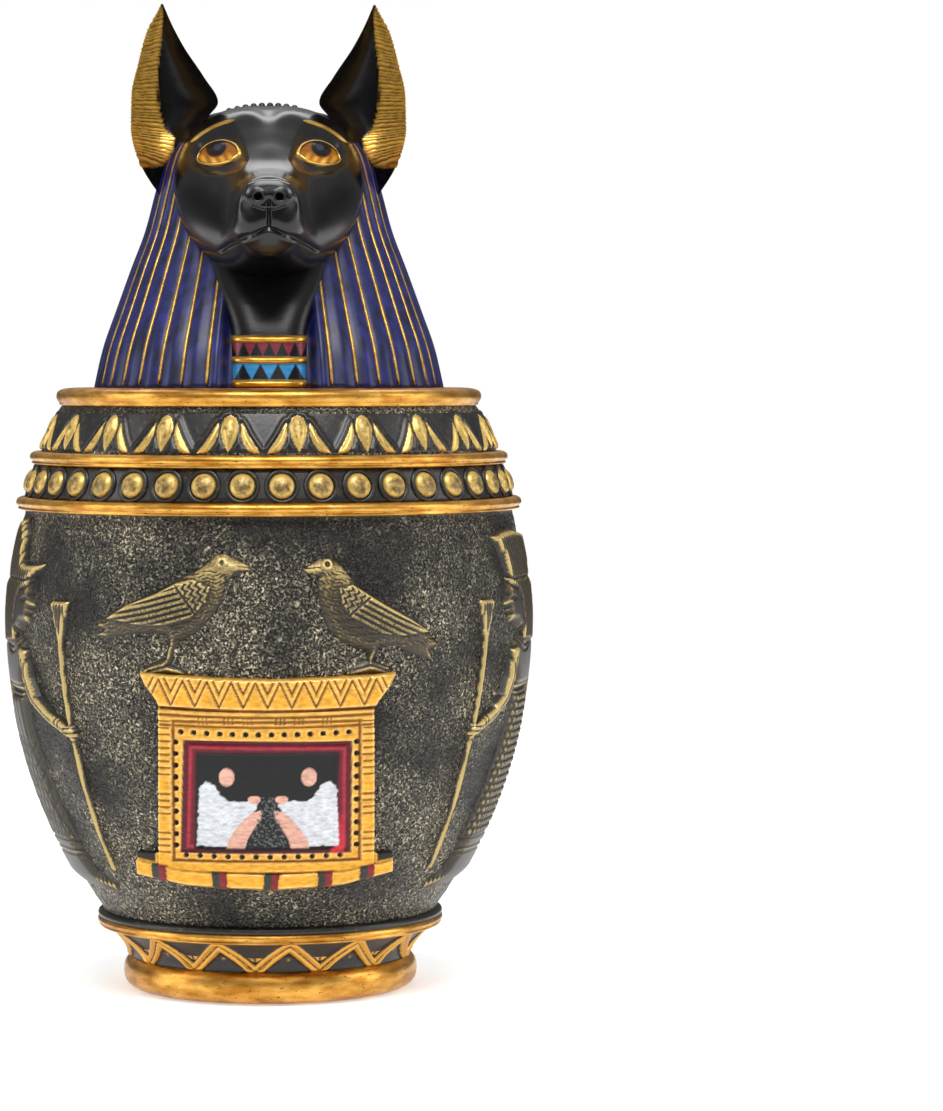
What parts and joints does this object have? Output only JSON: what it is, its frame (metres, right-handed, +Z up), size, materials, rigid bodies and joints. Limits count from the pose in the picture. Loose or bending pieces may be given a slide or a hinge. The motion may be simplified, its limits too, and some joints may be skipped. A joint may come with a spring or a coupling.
{
  "type": "canopic jar",
  "caption": "Small hollow barrel-shaped jar with relief carving, on a flared foot, with a lift-off lid shaped as a jackal's head in a striped hood.",
  "frame": {"origin": "centre of the underside that the jar stands on", "axes": "+Z up the jar's axis, -Y out of the front where the shrine and the muzzle are, +X to the right of someone facing that front"},
  "size_m": [0.0936, 0.0939, 0.175],
  "materials": {
    "jar_paint": "cast resin painted charcoal black, dry-brushed and trimmed in antique gold",
    "lid_paint": "cast resin painted gloss black and indigo, with gold lines"
  },
  "bodies": {
    "root": {"jar": "jar_paint", "jackal_lid": "lid_paint"}
  },
  "joints": []
}
